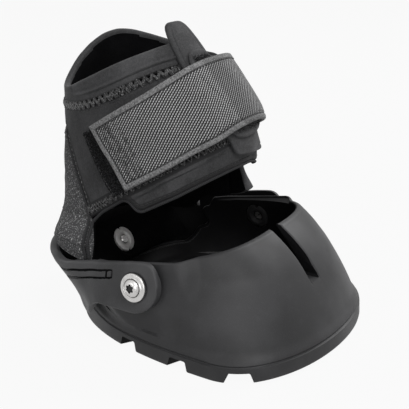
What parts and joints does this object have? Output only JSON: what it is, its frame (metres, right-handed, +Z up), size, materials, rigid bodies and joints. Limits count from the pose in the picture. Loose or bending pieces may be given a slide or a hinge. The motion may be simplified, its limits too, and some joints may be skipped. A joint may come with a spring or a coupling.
{
  "type": "horse hoof boot",
  "caption": "Moulded boot for a horse's hoof, with a swinging heel cup and a padded gaiter that wraps the pastern and closes at the front with a strap.",
  "frame": {"origin": "on the ground under the middle of the boot's box, between toe and heel", "axes": "-Y towards the toe, +Z up, -X the side that the strap's free end lies on"},
  "size_m": [0.14, 0.1669, 0.1551],
  "materials": {
    "shell_rubber": "satin moulded, fine haze",
    "cup_rubber": "satin moulded, slightly greyer",
    "steel": "bright turned",
    "dark_steel": "black coated",
    "smooth_neoprene": "smooth closed skin with a dull sheen",
    "stretch_cloth": "speckled knit",
    "lining_cloth": "matt lining",
    "loop_pile": "fuzzy pile",
    "webbing": "woven twill",
    "edge_binding": "bound tape"
  },
  "bodies": {
    "shell": {"hoof_shell": "shell_rubber", "near_side_screw": "steel", "near_side_washer": "steel", "near_side_nut": "dark_steel", "far_side_screw": "steel", "far_side_washer": "steel", "far_side_nut": "dark_steel"},
    "heel_cup_body": {"heel_cup": "cup_rubber", "heel_pad": "lining_cloth", "heel_screw": "steel", "heel_washer": "steel", "heel_nut": "steel"},
    "gaiter": {"collar": "smooth_neoprene", "near_wrap": "smooth_neoprene", "lower_band": "smooth_neoprene", "far_panel": "smooth_neoprene", "heel_panel": "stretch_cloth", "tendon_panel": "smooth_neoprene", "loop_patch": "loop_pile", "hem_binding": "edge_binding", "near_heel_piping": "edge_binding", "far_heel_piping": "edge_binding"},
    "front_closure": {"tongue": "smooth_neoprene", "tongue_patch": "loop_pile", "strap_root": "webbing"},
    "strap": {"strap_tail": "webbing", "hook_patch": "loop_pile"}
  },
  "joints": [
    {"name": "heel_swing", "type": "hinge", "parent": "shell", "child": "heel_cup_body", "pos_m": [0, -0.003, 0.0375], "axis": [1, 0, 0], "range_deg": [0, 12]},
    {"name": "gaiter_fold", "type": "hinge", "parent": "heel_cup_body", "child": "gaiter", "pos_m": [0, 0.083, 0.037], "axis": [-1, 0, 0], "range_deg": [0, 40]},
    {"name": "closure_open", "type": "hinge", "parent": "gaiter", "child": "front_closure", "pos_m": [0.03898, -0.00728, 0.11555], "axis": [0, 0, 1], "range_deg": [0, 75]},
    {"name": "strap_peel", "type": "hinge", "parent": "front_closure", "child": "strap", "pos_m": [0.0227, -0.03143, 0.10422], "axis": [-0.0614, 0.4899, 0.8696], "range_deg": [0, 100]}
  ]
}
